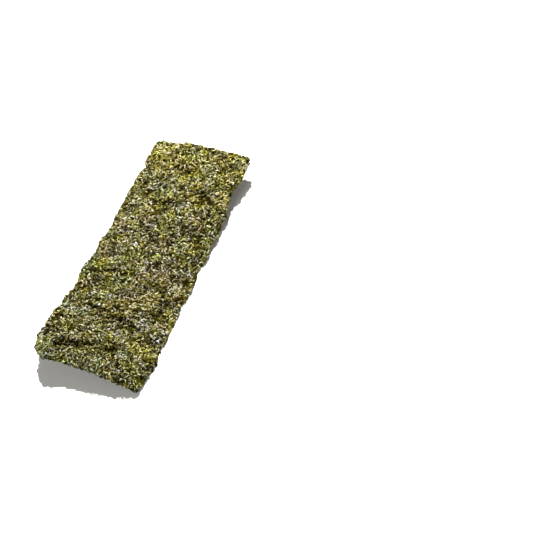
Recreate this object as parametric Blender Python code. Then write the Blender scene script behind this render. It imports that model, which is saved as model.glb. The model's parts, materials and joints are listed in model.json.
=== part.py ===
"""A crisp strip of dried seaweed, as one solid.

The real thing is a strip cut from a pressed and dried sheet of seaweed fronds. Drying and roasting
leave it about a millimetre thick, lumpy on both faces, ragged along its cut edges, and warped: both
ends lift, the strip twists along its length, and its long edges hang a little lower than its middle.
It lies flat on a table and touches it along two stretches of its long edges.

Frame: X runs across the strip, Y along it from the near end to the far end, and Z is up. The origin
is the centre of the strip's footprint, on the table.
"""

from math import hypot

import bmesh
import bpy
from mathutils import Vector, noise

# Size of the strip: half the width of a standard 190 x 210 mm sheet, by a sixth of its length.
STRIP_LENGTH = 0.0950
STRIP_WIDTH = 0.0350
STRIP_THICKNESS = 0.0011

# Warp of the middle surface, as heights at the end of the half width or half length.
END_LIFT = 0.0030
CORNER_TWIST = 0.0022
SIDE_DROP = 0.0011

# Ripples that bend both faces together, and lumps that thicken or thin the strip.
RIPPLE_HEIGHT = 0.0007
RIPPLE_ACROSS = 0.016
RIPPLE_ALONG = 0.009
TOP_LUMP_HEIGHT = 0.00045
UNDERSIDE_LUMP_HEIGHT = 0.0002
LUMP_SIZE = 0.0032

# The cut edges: how far they wander, and how thin the strip gets there.
EDGE_WANDER = 0.0005
EDGE_WANDER_LENGTH = 0.0075
EDGE_CRUMBLE = 0.00035
EDGE_CRUMBLE_LENGTH = 0.0024
EDGE_THICKNESS_SHARE = 0.6
EDGE_TAPER = 0.0020

# How deep the lowest places would reach below the table if they weren't pressed flat against it.
REST_DEPTH = 0.00045

# Broken places along the edges: the edge, how far along it from -1 to 1, half width, depth.
# A negative depth is a tab that stands out.
BREAKS = (
    ("left", 0.74, 0.0018, 0.0010),
    ("left", 0.20, 0.0080, 0.0006),
    ("left", -0.76, 0.0075, -0.0010),
    ("right", 0.62, 0.0060, 0.0006),
    ("right", 0.00, 0.0030, 0.0005),
    ("right", -0.84, 0.0060, -0.0008),
    ("far", -0.10, 0.0060, -0.0008),
    ("far", 0.62, 0.0045, 0.0006),
    ("near", -0.70, 0.0045, -0.0010),
)

# Corner radii, by the sides they join.
CORNER_RADII = {
    ("left", "near"): 0.0026,
    ("right", "near"): 0.0012,
    ("left", "far"): 0.0010,
    ("right", "far"): 0.0008,
}

# The grid that carries the shape, in cells of about 1.3 mm.
CELLS_ACROSS = 27
CELLS_ALONG = 72

# Each noise pattern is read on its own plane, so that no two of them agree.
NOISE_PLANE = {
    "ripple": 34.7,
    "top": 11.3,
    "underside": 17.9,
    "left": 23.1,
    "right": 31.7,
    "near": 41.9,
    "far": 53.3,
}


def start_clean():
    for old in list(bpy.data.objects):
        bpy.data.objects.remove(old, do_unlink=True)


def smooth_noise(pattern, across, along=0.0):
    """Noise from about -1 to 1 at a place given in multiples of its own wavelength."""
    return 2.0 * noise.noise(Vector((across, along, NOISE_PLANE[pattern])))


def edge_inset(edge, along, half_length):
    """How far inside its straight line an edge runs, at a place from -1 to 1 along it."""
    place = along * half_length
    inset = EDGE_WANDER * smooth_noise(edge, place / EDGE_WANDER_LENGTH)
    inset += EDGE_CRUMBLE * smooth_noise(edge, place / EDGE_CRUMBLE_LENGTH, 1.0)
    for broken_edge, centre, half_width, depth in BREAKS:
        if broken_edge == edge:
            away = abs(place - centre * half_length) / half_width
            inset += depth * max(0.0, 1.0 - away**2)
    return inset


def outline_point(u, v):
    """The place on the flat strip of a grid point (u, v), each from -1 to 1, ragged edges included."""
    half_width, half_length = STRIP_WIDTH / 2, STRIP_LENGTH / 2
    left = -half_width + edge_inset("left", v, half_length)
    right = half_width - edge_inset("right", v, half_length)
    near = -half_length + edge_inset("near", u, half_width)
    far = half_length - edge_inset("far", u, half_width)
    x = left + (right - left) * (u + 1) / 2
    y = near + (far - near) * (v + 1) / 2
    side, end = ("left" if u < 0 else "right"), ("near" if v < 0 else "far")
    radius = CORNER_RADII[side, end]
    past_x = radius - (x - left if u < 0 else right - x)
    past_y = radius - (y - near if v < 0 else far - y)
    if past_x > 0 and past_y > 0:
        pull = 1.0 - max(past_x, past_y) / hypot(past_x, past_y)
        x += pull * past_x * (1 if u < 0 else -1)
        y += pull * past_y * (1 if v < 0 else -1)
    return x, y


def middle_height(u, v, x, y):
    """Height of the warped middle surface over its own centre."""
    warp = END_LIFT * v**2 + CORNER_TWIST * u * v - SIDE_DROP * u**2
    return warp + RIPPLE_HEIGHT / 2 * smooth_noise("ripple", x / RIPPLE_ACROSS, y / RIPPLE_ALONG)


def half_thickness(face, u, v, x, y):
    """From the middle surface to one face: lumpy, and thinner at the cut edges."""
    lump_height = TOP_LUMP_HEIGHT if face == "top" else UNDERSIDE_LUMP_HEIGHT
    lump = lump_height / 2 * smooth_noise(face, x / LUMP_SIZE, y / LUMP_SIZE)
    from_edge = min((1 - abs(u)) * STRIP_WIDTH / 2, (1 - abs(v)) * STRIP_LENGTH / 2)
    taper = min(1.0, from_edge / EDGE_TAPER)
    share = EDGE_THICKNESS_SHARE + (1 - EDGE_THICKNESS_SHARE) * taper * (2 - taper)
    return (STRIP_THICKNESS / 2 + lump) * share


def face_point(face, u, v):
    x, y = outline_point(u, v)
    reach = half_thickness(face, u, v, x, y)
    return Vector((x, y, middle_height(u, v, x, y) + (reach if face == "top" else -reach)))


def strip_mesh():
    """The closed strip: a grid for its underside, and the same grid extruded for its top."""
    shell = bmesh.new()
    bmesh.ops.create_grid(shell, x_segments=CELLS_ACROSS, y_segments=CELLS_ALONG, size=1.0)
    under = list(shell.verts)
    extruded = bmesh.ops.extrude_face_region(shell, geom=list(shell.faces))["geom"]
    top = [item for item in extruded if isinstance(item, bmesh.types.BMVert)]
    for vert in under:
        vert.co = face_point("underside", vert.co.x, vert.co.y)
    for vert in top:
        vert.co = face_point("top", vert.co.x, vert.co.y)
    settle_on_table(shell, under)
    bmesh.ops.recalc_face_normals(shell, faces=shell.faces)
    mesh = bpy.data.meshes.new("seaweed_sheet")
    shell.to_mesh(mesh)
    shell.free()
    return mesh


def settle_on_table(shell, under):
    """Centres the strip, and sets it down so that its lowest places are small flat spots at z = 0."""
    xs = [vert.co.x for vert in shell.verts]
    ys = [vert.co.y for vert in shell.verts]
    lowest = min(vert.co.z for vert in under)
    shift = Vector((-(min(xs) + max(xs)) / 2, -(min(ys) + max(ys)) / 2, -lowest - REST_DEPTH))
    bmesh.ops.translate(shell, verts=shell.verts, vec=shift)
    for vert in under:
        vert.co.z = max(vert.co.z, 0.0)


def seaweed_material():
    material = bpy.data.materials.new("dried_seaweed")
    material.use_nodes = True
    surface = material.node_tree.nodes["Principled BSDF"]
    surface.inputs["Base Color"].default_value = (0.085, 0.095, 0.028, 1.0)
    surface.inputs["Roughness"].default_value = 0.55
    surface.inputs["Metallic"].default_value = 0.0
    return material


def build():
    start_clean()
    collection = bpy.data.collections.new("dried_seaweed_sheet")
    bpy.context.scene.collection.children.link(collection)
    sheet = bpy.data.objects.new("seaweed_sheet", strip_mesh())
    sheet.data.materials.append(seaweed_material())
    sheet.data.shade_smooth()
    collection.objects.link(sheet)


build()
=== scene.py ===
"""A crisp strip of pressed, dried seaweed: a dark felted core under thousands of curled frond bits."""

import json
from math import cos, pi, radians, sin
from random import Random

import bmesh
import bpy
from mathutils import Matrix, Vector, noise
from mathutils.bvhtree import BVHTree

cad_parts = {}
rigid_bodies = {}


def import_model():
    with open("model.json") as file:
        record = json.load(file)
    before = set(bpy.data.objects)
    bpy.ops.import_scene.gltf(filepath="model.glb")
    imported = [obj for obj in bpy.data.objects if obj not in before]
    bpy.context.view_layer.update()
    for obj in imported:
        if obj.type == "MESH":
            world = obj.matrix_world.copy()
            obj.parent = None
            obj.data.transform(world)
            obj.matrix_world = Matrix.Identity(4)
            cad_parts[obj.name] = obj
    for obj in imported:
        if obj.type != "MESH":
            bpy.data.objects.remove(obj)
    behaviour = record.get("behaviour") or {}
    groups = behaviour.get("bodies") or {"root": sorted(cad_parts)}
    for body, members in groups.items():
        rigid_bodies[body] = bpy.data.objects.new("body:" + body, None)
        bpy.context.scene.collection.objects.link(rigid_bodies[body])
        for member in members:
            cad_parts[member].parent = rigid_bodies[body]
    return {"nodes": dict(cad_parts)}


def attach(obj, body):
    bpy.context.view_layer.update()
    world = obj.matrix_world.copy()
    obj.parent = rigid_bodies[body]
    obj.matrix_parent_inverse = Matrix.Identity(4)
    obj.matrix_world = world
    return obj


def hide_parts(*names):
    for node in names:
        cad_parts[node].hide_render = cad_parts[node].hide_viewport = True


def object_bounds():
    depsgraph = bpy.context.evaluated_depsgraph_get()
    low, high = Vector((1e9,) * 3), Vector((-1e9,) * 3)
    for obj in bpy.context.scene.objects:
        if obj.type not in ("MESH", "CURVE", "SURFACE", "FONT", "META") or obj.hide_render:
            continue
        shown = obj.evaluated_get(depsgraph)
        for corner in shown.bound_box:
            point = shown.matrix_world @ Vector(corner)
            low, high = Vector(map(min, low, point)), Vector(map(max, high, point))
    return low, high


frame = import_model()
cad_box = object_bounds()

# ---------------------------------------------------------------------------------------------------
# Pressed core. Chopped wet fronds are spread on a mat, pressed and dried into one thin felt. This is
# the dense middle of that felt, nearly black because the fronds lie many deep. It stops short of the
# strip's faces and cut edges by the depth of the looser frond bits that cover it.
# ---------------------------------------------------------------------------------------------------

COVER_DEPTH = 0.00040
COVER_SHARE = 0.32
TABLE_HEIGHT = 0.0

PUCKER_DEPTH = 0.00012
PUCKER_SIZE = 0.0042
CRINKLE_DEPTH = 0.00017
CRINKLE_SIZE = 0.0013
NOISE_SHIFT = Vector((6.4, 2.7, 3.9))

# Creases where the felt sank as it dried: both ends (across, along), half width, depth.
CREASES = (
    ((-0.0150, -0.0425), (-0.0040, -0.0385), 0.0011, 0.00040),
    ((-0.0040, -0.0385), (0.0060, -0.0375), 0.0010, 0.00028),
    ((-0.0090, -0.0240), (0.0065, -0.0262), 0.0011, 0.00038),
    ((-0.0160, -0.0120), (-0.0050, -0.0085), 0.0012, 0.00024),
    ((0.0020, -0.0030), (0.0130, -0.0012), 0.0010, 0.00024),
    ((-0.0110, 0.0215), (0.0010, 0.0230), 0.0012, 0.00026),
    ((0.0030, 0.0290), (0.0120, 0.0265), 0.0010, 0.00024),
)
CREASE_WANDER = 0.0012

FELT_DARK = (0.008, 0.0065, 0.001)
FELT_LIGHT = (0.060, 0.052, 0.008)
FELT_MOTTLE = 1600
FELT_ROUGHNESS = 0.8
WRINKLE_SCALE = 3500
WRINKLE_DEPTH = 0.0003

# Corners of the loose triangles closer than this are one corner, and nearly flat pairs make one face.
SAME_CORNER = 0.000005
NEARLY_FLAT = radians(60)

sheet = frame["nodes"]["seaweed_sheet"]


def bake_modifiers(piece):
    """Gives an object the mesh that its modifiers make, and removes them."""
    evaluated = piece.evaluated_get(bpy.context.evaluated_depsgraph_get())
    finished = bpy.data.meshes.new_from_object(evaluated)
    piece.modifiers.clear()
    piece.data = finished


def relief(spot):
    """How far the felt stands in or out at a place: broad puckers under sharp crinkles."""
    pucker = PUCKER_DEPTH * 2 * noise.noise(spot / PUCKER_SIZE + NOISE_SHIFT)
    crinkle = CRINKLE_DEPTH * (0.5 - 2 * abs(noise.noise(spot / CRINKLE_SIZE - NOISE_SHIFT)))
    return pucker + crinkle


def crease_depth(spot):
    """How far the felt sinks at a place because of the creases."""
    place = Vector((spot.x, spot.y))
    wander = CREASE_WANDER * noise.noise(spot / (2 * CREASE_WANDER) + NOISE_SHIFT)
    deepest = 0.0
    for start, end, half_width, depth in CREASES:
        start, end = Vector(start), Vector(end)
        run = end - start
        along = max(0.0, min(1.0, (place - start).dot(run) / run.length_squared))
        away = (place - start - run * along).length + wander
        deepest = max(deepest, depth * max(0.0, 1 - (away / half_width) ** 2))
    return deepest


def add_node(tree, kind, inputs=None, **settings):
    """Adds a node. An input is a value, or the output socket that feeds it."""
    node = tree.nodes.new(kind)
    for setting, value in settings.items():
        setattr(node, setting, value)
    for socket, value in (inputs or {}).items():
        if isinstance(value, bpy.types.NodeSocket):
            tree.links.new(value, node.inputs[socket])
        else:
            node.inputs[socket].default_value = value
    return node


def add_ramp(tree, factor, stops):
    """A colour ramp through (place, colour) stops, and its colour output."""
    ramp = add_node(tree, "ShaderNodeValToRGB", {"Fac": factor})
    points = ramp.color_ramp.elements
    while len(points) < len(stops):
        points.new(1.0)
    for point, (where, colour) in zip(points, stops):
        point.position = where
        point.color = (*colour, 1.0)
    return ramp.outputs["Color"]


def new_finish(name, roughness, specular):
    """A material with one Principled shader: the material, its tree and its shader."""
    finish = bpy.data.materials.new(name)
    finish.use_nodes = True
    surface = finish.node_tree.nodes["Principled BSDF"]
    surface.inputs["Roughness"].default_value = roughness
    surface.inputs["Specular IOR Level"].default_value = specular
    return finish, finish.node_tree, surface


def add_wrinkles(tree, surface, spot):
    """Fine ridged wrinkles, as in any dried membrane."""
    wrinkles = add_node(
        tree,
        "ShaderNodeTexNoise",
        {"Vector": spot, "Scale": WRINKLE_SCALE, "Detail": 3.0, "Roughness": 0.6},
        noise_type="RIDGED_MULTIFRACTAL",
    ).outputs["Fac"]
    bump = add_node(
        tree, "ShaderNodeBump", {"Height": wrinkles, "Strength": 0.6, "Distance": WRINKLE_DEPTH}
    )
    tree.links.new(bump.outputs["Normal"], surface.inputs["Normal"])


core = bpy.data.objects.new("pressed_core", sheet.data.copy())
bpy.context.scene.collection.objects.link(core)

shell = bmesh.new()
shell.from_mesh(core.data)
bmesh.ops.remove_doubles(shell, verts=shell.verts, dist=SAME_CORNER)
walls = BVHTree.FromBMesh(shell)
bmesh.ops.join_triangles(
    shell, faces=shell.faces, angle_face_threshold=NEARLY_FLAT, angle_shape_threshold=NEARLY_FLAT
)
shell.to_mesh(core.data)
shell.free()

rounding = core.modifiers.new("rounding", "SUBSURF")
rounding.levels = 2
rounding.render_levels = 2
bake_modifiers(core)

outward = [vert.normal.copy() for vert in core.data.vertices]
for vert, normal in zip(core.data.vertices, outward):
    thickness = walls.ray_cast(vert.co - normal * COVER_DEPTH / 4, -normal)[3] or COVER_DEPTH
    cover = min(COVER_DEPTH, COVER_SHARE * thickness)
    sunk = crease_depth(vert.co)
    vert.co += normal * (relief(vert.co) * cover / COVER_DEPTH - cover)
    vert.co.z = max(vert.co.z - sunk, TABLE_HEIGHT)
core.data.shade_smooth()

felt, felt_tree, felt_surface = new_finish("pressed_felt", FELT_ROUGHNESS, 0.0)
felt_spot = add_node(felt_tree, "ShaderNodeTexCoord").outputs["Object"]
mottle = add_node(
    felt_tree, "ShaderNodeTexNoise", {"Vector": felt_spot, "Scale": FELT_MOTTLE, "Detail": 4.0}
).outputs["Fac"]
tint = add_ramp(felt_tree, mottle, ((0.35, FELT_DARK), (0.65, FELT_LIGHT)))
felt_tree.links.new(tint, felt_surface.inputs["Base Color"])
add_wrinkles(felt_tree, felt_surface, felt_spot)
core.data.materials.clear()
core.data.materials.append(felt)

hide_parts("seaweed_sheet")
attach(core, "root")

# ---------------------------------------------------------------------------------------------------
# Matted fronds. Larger shreds of frond lie nearly flat on the felt and are glued to it by their own
# dried gum. They are crinkled films, dark olive because light gets through only one or two of them.
# ---------------------------------------------------------------------------------------------------

MATTED_SHAPES = (
    # length, width, thickness, bend, gutter, twist, side curl, tilt
    (0.0030, 0.0017, 0.00012, radians(22), 0.10, radians(15), 0.2, 0.0),
    (0.0024, 0.0020, 0.00012, radians(28), -0.12, radians(-20), -0.3, 0.0),
    (0.0034, 0.0014, 0.00012, radians(30), 0.15, radians(25), 0.4, 0.0),
    (0.0027, 0.0018, 0.00012, radians(18), -0.10, radians(-12), 0.0, 0.0),
)

# How far each edge of a shred strays from its true width, and how much narrower its ends are.
NARROWEST, WIDEST = 0.55, 1.35
END_NARROWING = 0.5

# How far a shred with a side curl of 1 bends sideways, as a share of its length.
FULL_SIDE_CURL = 0.3

# How far shreds may stand out of the solid's faces, how far inside it a place can be, and the gap
# below which a place counts as on a face.
PRESS_LIMIT = 0.00018
DEEPEST_INSIDE = 0.0008
SMALLEST_GAP = 0.000001

CRUMPLE_SCALE = 1700
CRUMPLE_DEPTH = 0.0009

# A face whose normal points lower than this belongs to the underside.
UNDERSIDE_FACING = -0.3

# The pick of a shape is a random number up to this, and wraps round over the shapes there are.
MANY_SHAPES = 1000.0


def frond_bit(name, seed, rings, across, shape):
    """One closed, ragged, curled ribbon, lying along X with its ends down and its crest up."""
    length, width, thickness, bend, gutter, twist, side_curl, tilt = shape
    ragged = Random(seed)
    radius = length / (2 * bend)
    sides = [-1 + 2 * corner / across for corner in range(across + 1)]
    outline = [(side, 1) for side in sides] + [(side, -1) for side in sides[-2:0:-1]]

    def along_arc(along):
        height = radius * (cos(bend * along) - cos(bend))
        aside = FULL_SIDE_CURL * side_curl * length * along**2
        return Vector((radius * sin(bend * along), aside, height))

    bit = bmesh.new()
    # The rim value, 0 along the middle and 1 at the edges and tips, later places a painted highlight.
    rim = bit.verts.layers.float.new("rim")
    loops = []
    for ring in range(rings):
        along = -1 + 2 * (ring + 0.5) / rings
        reach = {1: ragged.uniform(NARROWEST, WIDEST), -1: ragged.uniform(NARROWEST, WIDEST)}
        half_width = width / 2 * (1 - END_NARROWING * along**2)
        angle = bend * along
        turn = Matrix.Rotation(twist * along, 3, Vector((cos(angle), 0, -sin(angle))))
        sideways = turn @ Vector((0, 1, 0))
        up = turn @ Vector((sin(angle), 0, cos(angle)))
        loop = []
        for side, face in outline:
            out = side * half_width * reach[1 if side > 0 else -1]
            lift = gutter * half_width * side**2 + face * thickness / 2 * (1 - side**2)
            vert = bit.verts.new(along_arc(along) + sideways * out + up * lift)
            vert[rim] = side**2
            loop.append(vert)
        loops.append(loop)
    tips = [bit.verts.new(along_arc(-1)), bit.verts.new(along_arc(1))]
    for corner in range(len(outline)):
        after = (corner + 1) % len(outline)
        for low, high in zip(loops, loops[1:]):
            bit.faces.new((low[corner], low[after], high[after], high[corner]))
        bit.faces.new((tips[0], loops[0][after], loops[0][corner]))
        bit.faces.new((tips[1], loops[-1][corner], loops[-1][after]))
    for tip in tips:
        tip[rim] = 1.0
    bmesh.ops.recalc_face_normals(bit, faces=bit.faces)
    bmesh.ops.rotate(bit, verts=bit.verts, cent=(0, 0, 0), matrix=Matrix.Rotation(tilt, 3, "X"))
    lowest = min(vert.co.z for vert in bit.verts)
    bmesh.ops.translate(bit, verts=bit.verts, vec=(0, 0, -lowest))
    mesh = bpy.data.meshes.new(name)
    bit.to_mesh(mesh)
    bit.free()
    mesh.shade_smooth()
    return mesh


def bit_collection(name, rings, across, shapes):
    """Bits of like make, kept together to be strewn."""
    kept = bpy.data.collections.new(name)
    for number, shape in enumerate(shapes):
        bit = frond_bit(f"{name}_{number}", number, rings, across, shape)
        kept.objects.link(bpy.data.objects.new(bit.name, bit))
    return kept


scatter = bpy.data.node_groups.new("scatter_bits", "GeometryNodeTree")
for label, kind in (
    ("Core", "NodeSocketGeometry"),
    ("Sheet", "NodeSocketObject"),
    ("Bits", "NodeSocketCollection"),
    ("Spacing", "NodeSocketFloat"),
    ("Density", "NodeSocketFloat"),
    ("Patch Size", "NodeSocketFloat"),
    ("Patchiness", "NodeSocketFloat"),
    ("Cover", "NodeSocketFloat"),
    ("Far Gain", "NodeSocketFloat"),
    ("Underside Share", "NodeSocketFloat"),
    ("Smallest", "NodeSocketFloat"),
    ("Largest", "NodeSocketFloat"),
    ("Lean", "NodeSocketFloat"),
    ("Sink", "NodeSocketFloat"),
    ("Crumple", "NodeSocketFloat"),
    ("Press", "NodeSocketFloat"),
    ("Depth", "NodeSocketFloat"),
    ("Table", "NodeSocketFloat"),
    ("Half Length", "NodeSocketFloat"),
    ("Seed", "NodeSocketInt"),
    ("Finish", "NodeSocketMaterial"),
):
    scatter.interface.new_socket(label, in_out="INPUT", socket_type=kind)
scatter.interface.new_socket("Strewn", in_out="OUTPUT", socket_type="NodeSocketGeometry")


def maths(operation, first, second=0.0):
    """One sum in the scatter tree, and its output."""
    return add_node(scatter, "ShaderNodeMath", {0: first, 1: second}, operation=operation).outputs[0]


def vector_maths(operation, inputs, output="Vector"):
    """One sum of vectors in the scatter tree, and its output."""
    return add_node(scatter, "ShaderNodeVectorMath", inputs, operation=operation).outputs[output]


def random_number(low, high, seed_shift):
    """A random number for each bit."""
    seed = maths("ADD", given["Seed"], seed_shift)
    values = {2: low, 3: high, "Seed": seed}
    return add_node(scatter, "FunctionNodeRandomValue", values, data_type="FLOAT").outputs[1]


given = add_node(scatter, "NodeGroupInput").outputs
spot = add_node(scatter, "GeometryNodeInputPosition").outputs[0]
facing = add_node(scatter, "GeometryNodeInputNormal").outputs[0]
axes = add_node(scatter, "ShaderNodeSeparateXYZ", {0: spot}).outputs

# Where bits lie: thick in some patches and thin in others, and fewer under the strip.
patch_scale = maths("DIVIDE", 1.0, given["Patch Size"])
patches = add_node(
    scatter,
    "ShaderNodeTexNoise",
    {"Vector": spot, "W": given["Seed"], "Scale": patch_scale, "Detail": 1.0},
    noise_dimensions="4D",
).outputs["Fac"]
uneven = maths("MULTIPLY", maths("SUBTRACT", patches, 0.5), given["Patchiness"])
far = maths("MULTIPLY", maths("DIVIDE", axes["Y"], given["Half Length"]), given["Far Gain"])
wanted = maths("ADD", maths("ADD", uneven, given["Cover"]), far)
facing_up = add_node(scatter, "ShaderNodeSeparateXYZ", {0: facing}).outputs["Z"]
kept_share = add_node(
    scatter,
    "ShaderNodeMix",
    {0: maths("GREATER_THAN", facing_up, UNDERSIDE_FACING), 2: given["Underside Share"], 3: 1.0},
    data_type="FLOAT",
).outputs[0]
cover_share = add_node(scatter, "ShaderNodeClamp", {"Value": wanted}).outputs[0]
share = maths("MULTIPLY", cover_share, kept_share)
points = add_node(
    scatter,
    "GeometryNodeDistributePointsOnFaces",
    {
        "Mesh": given["Core"],
        "Distance Min": given["Spacing"],
        "Density Max": given["Density"],
        "Density Factor": share,
        "Seed": given["Seed"],
    },
    distribute_method="POISSON",
).outputs

# How each bit lies: turned any way, leaning a little, and sunk into its neighbours.
lean = given["Lean"]
back = maths("MULTIPLY", lean, -1.0)
least = add_node(scatter, "ShaderNodeCombineXYZ", {"X": back, "Y": back, "Z": -pi}).outputs[0]
most = add_node(scatter, "ShaderNodeCombineXYZ", {"X": lean, "Y": lean, "Z": pi}).outputs[0]
turn = add_node(
    scatter,
    "FunctionNodeRandomValue",
    {0: least, 1: most, "Seed": given["Seed"]},
    data_type="FLOAT_VECTOR",
).outputs[0]
turned = add_node(
    scatter,
    "FunctionNodeRotateRotation",
    {
        "Rotation": points["Rotation"],
        "Rotate By": add_node(scatter, "FunctionNodeEulerToRotation", {0: turn}).outputs[0],
    },
    rotation_space="LOCAL",
).outputs[0]
shapes = add_node(
    scatter,
    "GeometryNodeCollectionInfo",
    {"Collection": given["Bits"], "Separate Children": True, "Reset Children": True},
).outputs[0]
placed = add_node(
    scatter,
    "GeometryNodeInstanceOnPoints",
    {
        "Points": points["Points"],
        "Instance": shapes,
        "Pick Instance": True,
        "Instance Index": random_number(0.0, MANY_SHAPES, 101),
        "Rotation": turned,
        "Scale": random_number(given["Smallest"], given["Largest"], 202),
    },
).outputs[0]
sink = maths("MULTIPLY", given["Sink"], -1.0)
down = add_node(scatter, "ShaderNodeCombineXYZ", {"Z": sink}).outputs[0]
sunk_in = add_node(
    scatter, "GeometryNodeTranslateInstances", {"Instances": placed, "Translation": down}
).outputs[0]
shaded = add_node(
    scatter,
    "GeometryNodeStoreNamedAttribute",
    {"Geometry": sunk_in, "Name": "shade", "Value": random_number(0.0, 1.0, 303)},
    data_type="FLOAT",
    domain="INSTANCE",
).outputs[0]
loose = add_node(scatter, "GeometryNodeRealizeInstances", {0: shaded}).outputs[0]

# Each bit crumples as it dries.
crumple = add_node(
    scatter, "ShaderNodeTexNoise", {"Vector": spot, "Scale": CRUMPLE_SCALE, "Detail": 2.0}
).outputs["Color"]
either_way = vector_maths("SUBTRACT", {0: crumple, 1: (0.5, 0.5, 0.5)})
push = vector_maths("SCALE", {0: either_way, "Scale": given["Crumple"]})
crumpled = add_node(
    scatter, "GeometryNodeSetPosition", {"Geometry": loose, "Offset": push}
).outputs[0]

# The press holds down what stands proud of the strip's faces, the more the further out it is.
wall_mesh = add_node(scatter, "GeometryNodeObjectInfo", {"Object": given["Sheet"]}).outputs["Geometry"]
nearest = add_node(scatter, "GeometryNodeProximity", {0: wall_mesh}, target_element="FACES").outputs
wall_place, wall_gap = nearest[:2]
wall_facing = add_node(
    scatter,
    "GeometryNodeSampleNearestSurface",
    {"Mesh": wall_mesh, "Value": facing},
    data_type="FLOAT_VECTOR",
).outputs["Value"]
from_wall = vector_maths("SUBTRACT", {0: spot, 1: wall_place})
proud = vector_maths("DOT_PRODUCT", {0: from_wall, 1: wall_facing}, "Value")
left_over = maths("EXPONENT", maths("DIVIDE", maths("MULTIPLY", wall_gap, -1.0), given["Press"]))
pressed_to = maths("MULTIPLY", maths("SUBTRACT", 1.0, left_over), given["Press"])
kept_gap = maths("DIVIDE", pressed_to, maths("MAXIMUM", wall_gap, SMALLEST_GAP))
too_far = maths("GREATER_THAN", wall_gap, DEEPEST_INSIDE)
outside = maths("MAXIMUM", maths("GREATER_THAN", proud, 0.0), too_far)
pull = maths("MULTIPLY", maths("SUBTRACT", kept_gap, 1.0), outside)
inward = vector_maths("SCALE", {0: from_wall, "Scale": pull})
pressed = add_node(
    scatter, "GeometryNodeSetPosition", {"Geometry": crumpled, "Offset": inward}
).outputs[0]

# How high a place stands, from 0 on the core to 1 where the press stops it, sets the painted shade low
# on the shred.
cover_depth = maths("ADD", given["Depth"], given["Press"])
lift = maths("DIVIDE", maths("ADD", proud, given["Depth"]), cover_depth)
lifted = add_node(
    scatter,
    "GeometryNodeStoreNamedAttribute",
    {"Geometry": pressed, "Name": "lift", "Value": lift},
    data_type="FLOAT",
    domain="POINT",
).outputs[0]

# Nothing goes below the table.
above = maths("MAXIMUM", axes["Z"], given["Table"])
level = add_node(
    scatter, "ShaderNodeCombineXYZ", {"X": axes["X"], "Y": axes["Y"], "Z": above}
).outputs[0]
on_table = add_node(
    scatter, "GeometryNodeSetPosition", {"Geometry": lifted, "Position": level}
).outputs[0]
coloured = add_node(
    scatter, "GeometryNodeSetMaterial", {"Geometry": on_table, "Material": given["Finish"]}
).outputs[0]
add_node(scatter, "NodeGroupOutput", {"Strewn": coloured})

inputs = [item for item in scatter.interface.items_tree if item.in_out == "INPUT"]
socket_of = {item.name: item.identifier for item in inputs}


def strew(name, bits, finish, **settings):
    """One kind of bit strewn over the whole core, as one plain mesh.

    Spacing, patch size, sink and crumple are in metres, and density is for each square metre.
    """
    piece = bpy.data.objects.new(name, core.data.copy())
    bpy.context.scene.collection.objects.link(piece)
    strewn = piece.modifiers.new("strewn", "NODES")
    strewn.node_group = scatter
    strewn[socket_of["Sheet"]] = sheet
    strewn[socket_of["Bits"]] = bits
    strewn[socket_of["Finish"]] = finish
    strewn[socket_of["Table"]] = TABLE_HEIGHT
    strewn[socket_of["Press"]] = PRESS_LIMIT
    strewn[socket_of["Depth"]] = COVER_DEPTH
    strewn[socket_of["Half Length"]] = cad_box[1][1]
    for label, value in settings.items():
        strewn[socket_of[label.replace("_", " ").title()]] = value
    bake_modifiers(piece)
    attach(piece, "root")


# Small patches of the strip differ in tint and in thickness. A tint multiplies the shred's own colour.
YELLOW_SCALE = 220
GREEN_SCALE = 170
THICK_SCALE = 150
PLAIN = (1.0, 1.0, 1.0)
YELLOWER = (1.02, 1.03, 0.42)
GREYER = (0.95, 0.96, 1.48)
GREENER = (0.88, 1.02, 0.95)
BROWNER = (1.06, 0.97, 0.90)
THICKER = (0.90, 0.90, 0.90)
THINNER = (1.09, 1.09, 1.09)

# Shreds are darker and bluer towards the near end, and paler and yellower towards the far end.
# A shred gets painted shade where it lies low between its neighbours, and a painted highlight on its
# thin rims.
NEAR_END = (0.75, 0.79, 0.86)
FAR_END = (1.32, 1.29, 0.95)
PAINTED_DEEP_SHADE = (0.08, 0.06, 0.02)
PAINTED_MIDDLE_SHADE = (0.82, 0.82, 0.74)
PAINTED_RIM_HIGHLIGHT = (1.57, 1.58, 2.02)


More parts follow.
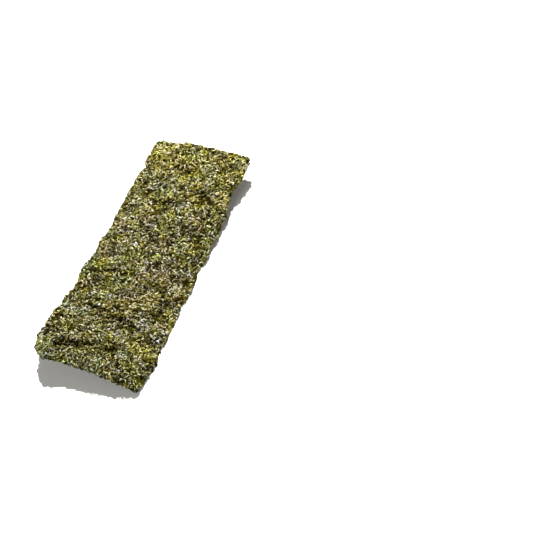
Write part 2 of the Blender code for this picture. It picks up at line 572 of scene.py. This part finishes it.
def frond_finish(name, deep, middle, bright, roughness, specular, coat=0.0, coat_roughness=0.3):
    """Seaweed membrane: each bit has its own tone, painted shade low down and a painted highlight on
    its rims.
    """
    finish, tree, surface = new_finish(name, roughness, specular)
    surface.inputs["Coat Weight"].default_value = coat
    surface.inputs["Coat Roughness"].default_value = coat_roughness

    def times(first, second):
        factors = {0: 1.0, 6: first, 7: second}
        settings = {"data_type": "RGBA", "blend_type": "MULTIPLY", "clamp_result": True}
        return add_node(tree, "ShaderNodeMix", factors, **settings).outputs[2]

    def cloud(scale, detail):
        settings = {"Vector": spot, "Scale": scale, "Detail": detail, "Roughness": 0.7}
        return add_node(tree, "ShaderNodeTexNoise", settings).outputs["Fac"]

    def kept(attribute):
        return add_node(tree, "ShaderNodeAttribute", attribute_name=attribute).outputs["Fac"]

    spot = add_node(tree, "ShaderNodeTexCoord").outputs["Object"]
    along = add_node(tree, "ShaderNodeSeparateXYZ", {0: spot}).outputs["Y"]
    from_near = add_node(
        tree, "ShaderNodeMapRange", {0: along, 1: cad_box[0][1], 2: cad_box[1][1], 3: 0.0, 4: 1.0}
    ).outputs[0]
    colour = add_ramp(tree, kept("shade"), ((0.0, deep), (0.55, middle), (1.0, bright)))
    for factor, tints in (
        (cloud(YELLOW_SCALE, 4.0), ((0.35, YELLOWER), (0.5, PLAIN), (0.65, GREYER))),
        (cloud(GREEN_SCALE, 4.0), ((0.35, GREENER), (0.5, PLAIN), (0.65, BROWNER))),
        (cloud(THICK_SCALE, 1.0), ((0.35, THICKER), (0.65, THINNER))),
        (from_near, ((0.0, NEAR_END), (0.19, PLAIN), (0.6, PLAIN), (1.0, FAR_END))),
        # Painted shade where a shred lies low between its neighbours.
        (kept("lift"), ((0.1, PAINTED_DEEP_SHADE), (0.8, PLAIN))),
        # A painted highlight on each shred's thin rims and tips, with its middle a little darker.
        (kept("rim"), ((0.3, PAINTED_MIDDLE_SHADE), (1.0, PAINTED_RIM_HIGHLIGHT))),
    ):
        colour = times(colour, add_ramp(tree, factor, tints))
    tree.links.new(colour, surface.inputs["Base Color"])
    add_wrinkles(tree, surface, spot)
    return finish


matted_bits = bit_collection("matted_bits", 4, 3, MATTED_SHAPES)
matted = frond_finish(
    "matted_frond",
    deep=(0.018, 0.014, 0.0015),
    middle=(0.080, 0.070, 0.014),
    bright=(0.18, 0.162, 0.050),
    roughness=0.4,
    specular=0.0,
)
strew(
    "matted_fronds", matted_bits, matted, seed=5,
    spacing=0.0008, density=2.6e6, patch_size=0.004, patchiness=0.0, cover=0.8, far_gain=0.0,
    underside_share=0.9, smallest=0.5, largest=0.9, lean=0.35, sink=0.00012, crumple=CRUMPLE_DEPTH,
)

# ---------------------------------------------------------------------------------------------------
# Dark fronds. Older shreds of laver are thick enough to dry almost black. They lie in small clusters
# low down, between the olive ones, and are curled like them.
# ---------------------------------------------------------------------------------------------------

CURLED_SHAPES = (
    # length, width, thickness, bend, gutter, twist, side curl, tilt
    (0.00262, 0.00060, 0.00012, radians(75), 0.45, radians(30), 0.1, 0.0),
    (0.00212, 0.00072, 0.00012, radians(90), -0.50, radians(-35), 0.2, radians(20)),
    (0.00325, 0.00038, 0.00012, radians(65), 0.35, radians(70), 0.9, radians(50)),
    (0.00187, 0.00084, 0.00013, radians(55), 0.60, radians(15), 0.0, radians(-15)),
    (0.00300, 0.00036, 0.00012, radians(110), 0.25, radians(-25), -0.4, radians(60)),
    (0.00375, 0.00034, 0.00011, radians(45), -0.40, radians(-85), -0.9, 0.0),
    (0.00175, 0.00068, 0.00015, radians(85), -0.30, radians(50), 0.3, 0.0),
    (0.00237, 0.00080, 0.00011, radians(35), 0.70, radians(-60), 0.4, radians(-30)),
    (0.00350, 0.00032, 0.00012, radians(150), 0.20, radians(20), 0.0, radians(70)),
    (0.00225, 0.00048, 0.00012, radians(100), -0.40, radians(90), -0.2, 0.0),
)

curled_bits = bit_collection("curled_bits", 4, 2, CURLED_SHAPES)
dark = frond_finish(
    "dark_frond",
    deep=(0.008, 0.0055, 0.001),
    middle=(0.019, 0.015, 0.002),
    bright=(0.060, 0.052, 0.016),
    roughness=0.4,
    specular=0.0,
)
strew(
    "dark_fronds", curled_bits, dark, seed=3,
    spacing=0.00055, density=4.8e6, patch_size=0.0030, patchiness=1.0, cover=0.68, far_gain=-0.12,
    underside_share=0.45, smallest=0.55, largest=0.95, lean=0.6, sink=0.00022, crumple=CRUMPLE_DEPTH,
)

# ---------------------------------------------------------------------------------------------------
# Olive fronds. Most of what shows is green laver, chopped to a millimetre or three, roasted to a
# yellowish olive and curled into arched ribbons, hooks and cups that cling by their ends.
# ---------------------------------------------------------------------------------------------------

olive = frond_finish(
    "olive_frond",
    deep=(0.055, 0.048, 0.005),
    middle=(0.222, 0.205, 0.066),
    bright=(0.43, 0.404, 0.235),
    roughness=0.3,
    specular=0.05,
)
strew(
    "olive_fronds", curled_bits, olive, seed=11,
    spacing=0.00048, density=5.8e6, patch_size=0.004, patchiness=0.8, cover=0.7, far_gain=0.0,
    underside_share=0.4, smallest=0.5, largest=0.9, lean=0.7, sink=0.00018, crumple=CRUMPLE_DEPTH,
)

# ---------------------------------------------------------------------------------------------------
# Green fronds. Shreds of a greener weed are mixed in with the olive ones. They kept more of their
# colour in the roaster, and they gather in small patches.
# ---------------------------------------------------------------------------------------------------

green = frond_finish(
    "green_frond",
    deep=(0.055, 0.056, 0.008),
    middle=(0.217, 0.222, 0.078),
    bright=(0.42, 0.426, 0.25),
    roughness=0.3,
    specular=0.05,
)
strew(
    "green_fronds", curled_bits, green, seed=67,
    spacing=0.0006, density=4.5e6, patch_size=0.0035, patchiness=2.2, cover=0.5, far_gain=0.0,
    underside_share=0.4, smallest=0.5, largest=0.9, lean=0.7, sink=0.00014, crumple=CRUMPLE_DEPTH,
)

# ---------------------------------------------------------------------------------------------------
# Young fronds. The thinnest shreds dry to pale yellow-green strands, and a painted highlight makes
# their rims almost white. They lie on top of the olive and green ones.
# ---------------------------------------------------------------------------------------------------

STRAND_SHAPES = (
    # length, width, thickness, bend, gutter, twist, side curl, tilt
    (0.00294, 0.00045, 0.00015, radians(70), 0.30, radians(40), 0.8, radians(40)),
    (0.00238, 0.00052, 0.00015, radians(95), -0.30, radians(-30), -0.5, radians(-55)),
    (0.00350, 0.00039, 0.00015, radians(50), 0.20, radians(60), 1.1, radians(20)),
    (0.00210, 0.00059, 0.00015, radians(80), 0.45, radians(-20), 0.2, 0.0),
    (0.00336, 0.00038, 0.00015, radians(140), 0.20, radians(15), 0.0, radians(72)),
    (0.00182, 0.00071, 0.00015, radians(60), 0.60, radians(30), 0.0, radians(-20)),
    (0.00266, 0.00045, 0.00015, radians(60), -0.35, radians(-75), -0.9, radians(30)),
)

strands = bit_collection("strands", 5, 2, STRAND_SHAPES)
young = frond_finish(
    "young_frond",
    deep=(0.19, 0.175, 0.036),
    middle=(0.43, 0.410, 0.235),
    bright=(0.54, 0.523, 0.41),
    roughness=0.3,
    specular=0.06,
)
strew(
    "young_fronds", strands, young, seed=19,
    spacing=0.00052, density=4.8e6, patch_size=0.005, patchiness=1.3, cover=0.5, far_gain=0.15,
    underside_share=0.35, smallest=0.5, largest=0.85, lean=0.7, sink=0.0001, crumple=CRUMPLE_DEPTH,
)

# ---------------------------------------------------------------------------------------------------
# Purple laver. Here and there lies a shred of another weed, a smooth purplish black film that shines
# through a skin of roasting oil.
# ---------------------------------------------------------------------------------------------------

LAVER_SHAPES = (
    # length, width, thickness, bend, gutter, twist, side curl, tilt
    (0.0026, 0.00120, 0.00012, radians(40), 0.30, radians(20), 0.2, 0.0),
    (0.0022, 0.00095, 0.00012, radians(60), -0.30, radians(-30), -0.4, radians(15)),
    (0.0030, 0.00085, 0.00012, radians(35), 0.35, radians(45), 0.5, radians(-20)),
)

laver_bits = bit_collection("laver_bits", 5, 2, LAVER_SHAPES)
laver = frond_finish(
    "purple_laver",
    deep=(0.016, 0.014, 0.010),
    middle=(0.036, 0.033, 0.024),
    bright=(0.095, 0.090, 0.070),
    roughness=0.35,
    specular=0.2,
    coat=0.2,
    coat_roughness=0.25,
)
strew(
    "purple_laver", laver_bits, laver, seed=41,
    spacing=0.0015, density=0.55e6, patch_size=0.006, patchiness=3.0, cover=0.45, far_gain=-0.1,
    underside_share=0.5, smallest=0.45, largest=0.75, lean=0.5, sink=-0.00005, crumple=CRUMPLE_DEPTH,
)

# ---------------------------------------------------------------------------------------------------
# Toasted fronds. A few shreds of the same chopped laver caught more heat in the roaster and turned
# brown. They lie scattered, curled and clinging like the olive ones.
# ---------------------------------------------------------------------------------------------------

toasted = frond_finish(
    "toasted_frond",
    deep=(0.12, 0.085, 0.012),
    middle=(0.21, 0.160, 0.035),
    bright=(0.40, 0.340, 0.16),
    roughness=0.3,
    specular=0.05,
)
strew(
    "toasted_fronds", curled_bits, toasted, seed=29,
    spacing=0.001, density=0.5e6, patch_size=0.003, patchiness=3.0, cover=0.45, far_gain=0.0,
    underside_share=0.5, smallest=0.6, largest=1.0, lean=0.8, sink=0.0001, crumple=CRUMPLE_DEPTH,
)

# ---------------------------------------------------------------------------------------------------
# Stalk fibres. A few thin stalks of the fronds lie across both faces, straw coloured and dry. They
# are too stiff to curl up, so they stay nearly straight and are glued only where they touch.
# ---------------------------------------------------------------------------------------------------

STALK_SHAPES = (
    # length, width, thickness, bend, gutter, twist, side curl, tilt
    (0.0046, 0.00026, 0.00020, radians(14), 0.0, radians(30), 0.15, 0.0),
    (0.0034, 0.00022, 0.00018, radians(10), 0.0, radians(-20), -0.20, 0.0),
    (0.0058, 0.00024, 0.00018, radians(16), 0.0, radians(40), 0.25, 0.0),
)

stalks = bit_collection("stalks", 7, 2, STALK_SHAPES)
straw = frond_finish(
    "dry_stalk",
    deep=(0.24, 0.20, 0.07),
    middle=(0.38, 0.33, 0.13),
    bright=(0.52, 0.47, 0.22),
    roughness=0.5,
    specular=0.4,
    coat=0.1,
    coat_roughness=0.3,
)
strew(
    "stalk_fibres", stalks, straw, seed=48,
    spacing=0.008, density=0.5e4, patch_size=0.02, patchiness=0.0, cover=1.0, far_gain=0.0,
    underside_share=0.6, smallest=0.8, largest=1.1, lean=0.08, sink=-0.0005, crumple=0.0003,
)

# The single bits that were strewn are patterns, not pieces of the strip, so they go.
for patterns in (matted_bits, curled_bits, strands, laver_bits, stalks):
    for bit in list(patterns.objects):
        bpy.data.objects.remove(bit, do_unlink=True)
    bpy.data.collections.remove(patterns)

# ---------------------------------------------------------------------------------------------------
# Studio. The strip lies on plain pale paper that rises all round into a shallow bowl, so that low
# views have a pale ground too. A key light shines from behind and to the left, and a weak broad one
# from the front.
# ---------------------------------------------------------------------------------------------------

FLOOR_RADIUS = 1.8
SWEEP_RADIUS = 3.0
SWEEP_ANGLE = radians(50)
SWEEP_STEPS = 12
FLOOR_SIDES = 96
FLOOR_SEAM = 0.0001
FLOOR_COLOUR = (0.86, 0.86, 0.86)
ROOM_COLOUR = (1.0, 0.97, 0.90)
ROOM_STRENGTH = 0.10

sweep = bmesh.new()
profile = [sweep.verts.new((0.0, 0.0, TABLE_HEIGHT))]
for step in range(SWEEP_STEPS + 1):
    rise = SWEEP_ANGLE * step / SWEEP_STEPS
    reach = FLOOR_RADIUS + SWEEP_RADIUS * sin(rise)
    profile.append(sweep.verts.new((reach, 0.0, TABLE_HEIGHT + SWEEP_RADIUS * (1 - cos(rise)))))
edges = [sweep.edges.new(pair) for pair in zip(profile, profile[1:])]
bmesh.ops.spin(
    sweep,
    geom=profile + edges,
    cent=(0, 0, 0),
    axis=(0, 0, 1),
    angle=2 * pi,
    steps=FLOOR_SIDES,
    use_merge=True,
)
bmesh.ops.remove_doubles(sweep, verts=sweep.verts, dist=FLOOR_SEAM)
bmesh.ops.recalc_face_normals(sweep, faces=sweep.faces)
if sweep.faces[0].normal.z < 0:
    bmesh.ops.reverse_faces(sweep, faces=sweep.faces)
floor_mesh = bpy.data.meshes.new("floor")
sweep.to_mesh(floor_mesh)
sweep.free()
floor_mesh.shade_smooth()
floor = bpy.data.objects.new("floor", floor_mesh)
bpy.context.scene.collection.objects.link(floor)
paper, _, paper_surface = new_finish("pale_paper", 0.9, 0.2)
paper_surface.inputs["Base Color"].default_value = (*FLOOR_COLOUR, 1.0)
floor.data.materials.append(paper)

LIGHTS = (
    # name, azimuth, elevation, angle across, strength, colour
    ("key", radians(26), radians(42), radians(3), 13.0, (1.0, 0.98, 0.93)),
    ("front_fill", radians(150), radians(45), radians(30), 0.7, (1.0, 0.99, 0.96)),
)
for name, azimuth, elevation, across, strength, colour in LIGHTS:
    lamp = bpy.data.lights.new(name, "SUN")
    lamp.angle = across
    lamp.energy = strength
    lamp.color = colour
    holder = bpy.data.objects.new(name, lamp)
    towards = Vector((-sin(azimuth) * cos(elevation), cos(azimuth) * cos(elevation), sin(elevation)))
    holder.location = towards
    holder.rotation_euler = towards.to_track_quat("Z", "Y").to_euler()
    bpy.context.scene.collection.objects.link(holder)

world = bpy.data.worlds.new("pale_room")
world.use_nodes = True
room = world.node_tree.nodes["Background"]
room.inputs["Color"].default_value = (*ROOM_COLOUR, 1.0)
room.inputs["Strength"].default_value = ROOM_STRENGTH
bpy.context.scene.world = world
bpy.context.scene.view_settings.view_transform = "Standard"

# ---------------------------------------------------------------------------------------------------
# Camera. A long lens looks down on the strip from beyond its near end and a little to the right, and
# the strip stands left of the middle of the frame.
# ---------------------------------------------------------------------------------------------------

CAMERA_AIM = Vector((0.0426, 0.0058, 0.00127))
CAMERA_DISTANCE = 0.40766
CAMERA_AZIMUTH = radians(19.89)
CAMERA_PITCH = radians(53.109)
LENS = 83.57
SENSOR = 36.0

optics = bpy.data.cameras.new("camera")
optics.lens = LENS
optics.sensor_width = SENSOR
camera = bpy.data.objects.new("camera", optics)
away = Vector((
    sin(CAMERA_AZIMUTH) * cos(CAMERA_PITCH),
    -cos(CAMERA_AZIMUTH) * cos(CAMERA_PITCH),
    sin(CAMERA_PITCH),
))
camera.location = CAMERA_AIM + CAMERA_DISTANCE * away
camera.rotation_euler = away.to_track_quat("Z", "Y").to_euler()
bpy.context.scene.collection.objects.link(camera)
bpy.context.scene.camera = camera
